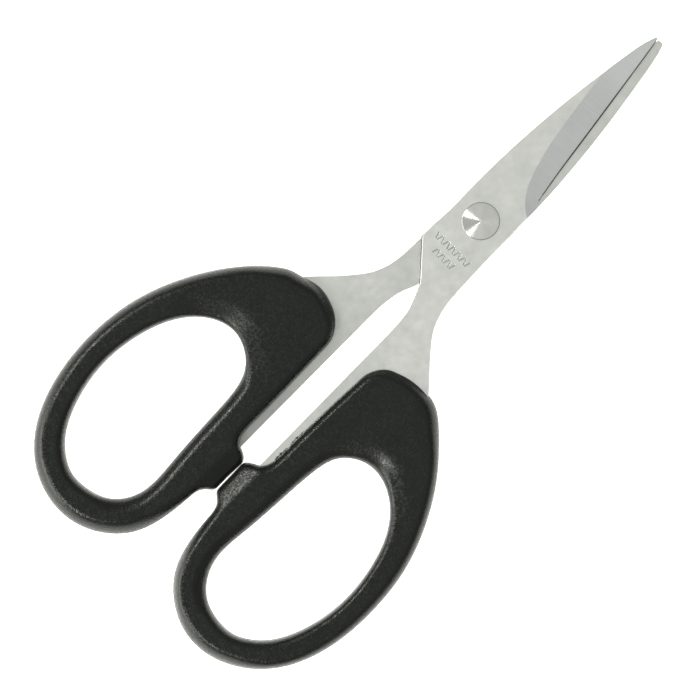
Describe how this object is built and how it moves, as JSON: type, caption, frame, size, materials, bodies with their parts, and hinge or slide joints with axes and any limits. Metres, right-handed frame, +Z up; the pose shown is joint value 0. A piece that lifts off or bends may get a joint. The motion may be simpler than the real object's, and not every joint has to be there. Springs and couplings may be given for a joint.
{
  "type": "fabric shears",
  "caption": "Riveted fabric shears with straight ground steel blades and one-piece moulded plastic finger loops, closed and lying flat; they swing open at the pivot.",
  "frame": {"origin": "centre of the overall box in plan, on the surface the closed shears lie on; the rivet's axis is at x = 0.0292 m, y = 0", "axes": "+X along the closed shears from the finger loops to the blade tips, +Y to the left loop seen from above, +Z up out of the rivet's head"},
  "size_m": [0.1794, 0.0936, 0.0084],
  "materials": {
    "blade_steel": "satin stainless sheet with a ground bevel",
    "rivet_steel": "turned, bright",
    "washer_steel": "plain stamped",
    "handle_plastic": "black, fine grained, matte"
  },
  "bodies": {
    "back_half": {"back_blade": "blade_steel", "left_handle": "handle_plastic", "pivot_rivet": "rivet_steel", "rivet_washer": "washer_steel"},
    "front_half": {"front_blade": "blade_steel", "right_handle": "handle_plastic"}
  },
  "joints": [
    {"name": "pivot_hinge", "type": "hinge", "parent": "back_half", "child": "front_half", "pos_m": [0.0292, 0, 0.0042], "axis": [0, 0, 1], "range_deg": [0, 140]}
  ]
}
